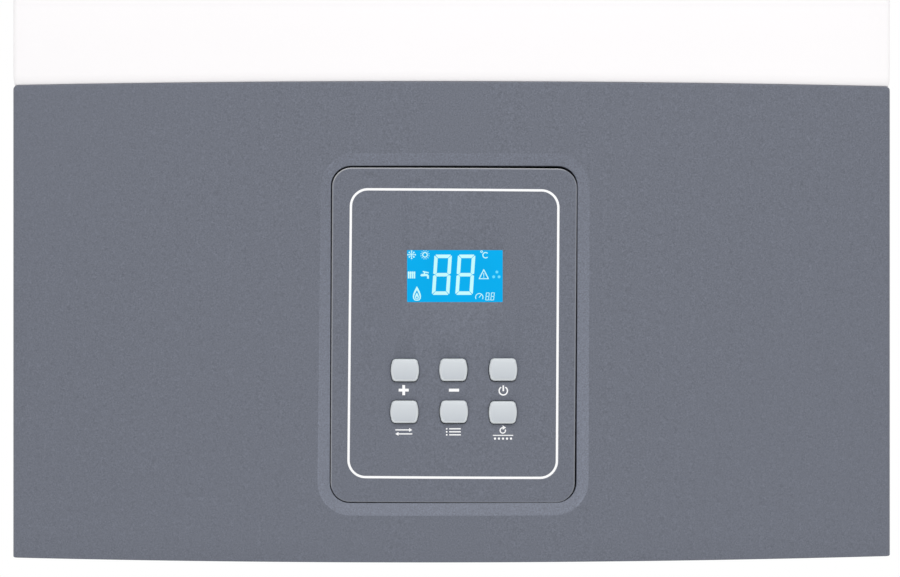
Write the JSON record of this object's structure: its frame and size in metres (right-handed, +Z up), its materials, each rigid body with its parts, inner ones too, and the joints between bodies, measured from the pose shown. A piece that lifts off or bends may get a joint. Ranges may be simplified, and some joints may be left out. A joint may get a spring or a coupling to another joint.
{
  "type": "wall-mounted gas boiler",
  "caption": "Wall-hung combination gas boiler with a white pull-off cover, a fold-down grey control panel with display and push buttons, and its burner, fan and pump inside.",
  "frame": {"origin": "centre of the wall bracket's back face, on the wall", "axes": "+Y into the wall, +Z up, the front faces -Y and +X is to the right as seen from the front"},
  "size_m": [0.41, 0.32, 0.751],
  "materials": {
    "white_enamel": "semi-gloss white enamel",
    "fascia_grey": "fine-grained blue-grey",
    "button_silver": "satin silver",
    "black_plastic": "matt",
    "display_lens": "clear window over a lit blue display",
    "display_blue": "satin",
    "board_green": "lacquered",
    "zinc_plated": "zinc plated",
    "aluminised_steel": "mill finish",
    "stainless_steel": "bright",
    "copper": "drawn copper",
    "brass": "machined",
    "cast_aluminium": "as cast",
    "vessel_red": "gloss paint",
    "composite_dark": "glass-filled",
    "knob_red": "moulded",
    "knob_blue": "moulded",
    "rubber": "matt",
    "sight_glass": "clear",
    "electrode_ceramic": "glazed"
  },
  "bodies": {
    "casing": {"wall_bracket": "zinc_plated", "rear_panel": "aluminised_steel", "side_panel_left": "white_enamel", "side_panel_right": "white_enamel", "top_panel": "white_enamel", "air_intake_blank": "zinc_plated", "hinge_bracket_left": "zinc_plated", "hinge_bracket_right": "zinc_plated", "combustion_chamber": "aluminised_steel", "chamber_front_panel": "aluminised_steel", "sight_glass": "sight_glass", "burner": "stainless_steel", "gas_manifold": "aluminised_steel", "ignition_electrode": "electrode_ceramic", "primary_heat_exchanger": "copper", "flue_hood": "aluminised_steel", "fan_housing": "aluminised_steel", "fan_motor": "cast_aluminium", "exhaust_spigot": "aluminised_steel", "flue_collar": "cast_aluminium", "air_pressure_switch": "composite_dark", "pressure_tube": "rubber", "expansion_vessel": "vessel_red", "expansion_hose": "rubber", "pump_housing": "brass", "pump_motor": "cast_aluminium", "air_vent": "brass", "safety_valve": "brass", "diverter_valve": "brass", "diverter_motor": "black_plastic", "plate_heat_exchanger": "stainless_steel", "gas_valve": "cast_aluminium", "heating_flow_pipe": "copper", "hot_water_pipe": "copper", "gas_pipe": "copper", "cold_water_pipe": "copper", "heating_return_pipe": "copper", "connection_plate": "zinc_plated", "cable_gland": "black_plastic", "return_pipe_to_exchanger": "copper", "flow_pipe_from_exchanger": "copper"},
    "front_cover": {"front_cover": "white_enamel"},
    "control_panel": {"fascia": "fascia_grey", "control_module_face": "fascia_grey", "display_window": "display_lens", "lcd_module": "display_blue", "display_board": "board_green", "control_box_housing": "black_plastic", "terminal_cover": "composite_dark", "main_board": "board_green"},
    "button_plus": {"button_plus": "button_silver"},
    "button_minus": {"button_minus": "button_silver"},
    "button_power": {"button_power": "button_silver"},
    "button_mode": {"button_mode": "button_silver"},
    "button_info": {"button_info": "button_silver"},
    "button_reset": {"button_reset": "button_silver"},
    "fan_impeller": {"fan_impeller": "stainless_steel"},
    "pump_impeller": {"pump_impeller": "composite_dark"},
    "safety_valve_knob": {"safety_valve_knob": "knob_red"},
    "filling_tap_knob": {"filling_tap_knob": "knob_blue"}
  },
  "joints": [
    {"name": "front_cover_slide", "type": "slide", "parent": "casing", "child": "front_cover", "axis": [0, -1, 0], "range_m": [0, 0.25]},
    {"name": "control_panel_hinge", "type": "hinge", "parent": "casing", "child": "control_panel", "pos_m": [0, -0.212, -0.6344], "axis": [1, 0, 0], "range_deg": [0, 85]},
    {"name": "plus_press", "type": "slide", "parent": "control_panel", "child": "button_plus", "axis": [0, 1, 0], "range_m": [0, 0.0012], "stiffness_N_per_m": 1500, "springref_m": -0.0006},
    {"name": "minus_press", "type": "slide", "parent": "control_panel", "child": "button_minus", "axis": [0, 1, 0], "range_m": [0, 0.0012], "stiffness_N_per_m": 1500, "springref_m": -0.0006},
    {"name": "power_press", "type": "slide", "parent": "control_panel", "child": "button_power", "axis": [0, 1, 0], "range_m": [0, 0.0012], "stiffness_N_per_m": 1500, "springref_m": -0.0006},
    {"name": "mode_press", "type": "slide", "parent": "control_panel", "child": "button_mode", "axis": [0, 1, 0], "range_m": [0, 0.0012], "stiffness_N_per_m": 1500, "springref_m": -0.0006},
    {"name": "info_press", "type": "slide", "parent": "control_panel", "child": "button_info", "axis": [0, 1, 0], "range_m": [0, 0.0012], "stiffness_N_per_m": 1500, "springref_m": -0.0006},
    {"name": "reset_press", "type": "slide", "parent": "control_panel", "child": "button_reset", "axis": [0, 1, 0], "range_m": [0, 0.0012], "stiffness_N_per_m": 1500, "springref_m": -0.0006},
    {"name": "fan_spin", "type": "hinge", "parent": "casing", "child": "fan_impeller", "pos_m": [-0.045, -0.15, 0.002], "axis": [0, 1, 0], "continuous": true},
    {"name": "pump_spin", "type": "hinge", "parent": "casing", "child": "pump_impeller", "pos_m": [0.14, -0.125, -0.54], "axis": [0, 1, 0], "continuous": true},
    {"name": "safety_valve_turn", "type": "hinge", "parent": "casing", "child": "safety_valve_knob", "pos_m": [0.098, -0.178, -0.598], "axis": [0, -1, 0], "range_deg": [0, 90]},
    {"name": "filling_tap_turn", "type": "hinge", "parent": "casing", "child": "filling_tap_knob", "pos_m": [0.104, -0.108, -0.64], "axis": [0, 0, -1], "range_deg": [0, 360]}
  ]
}
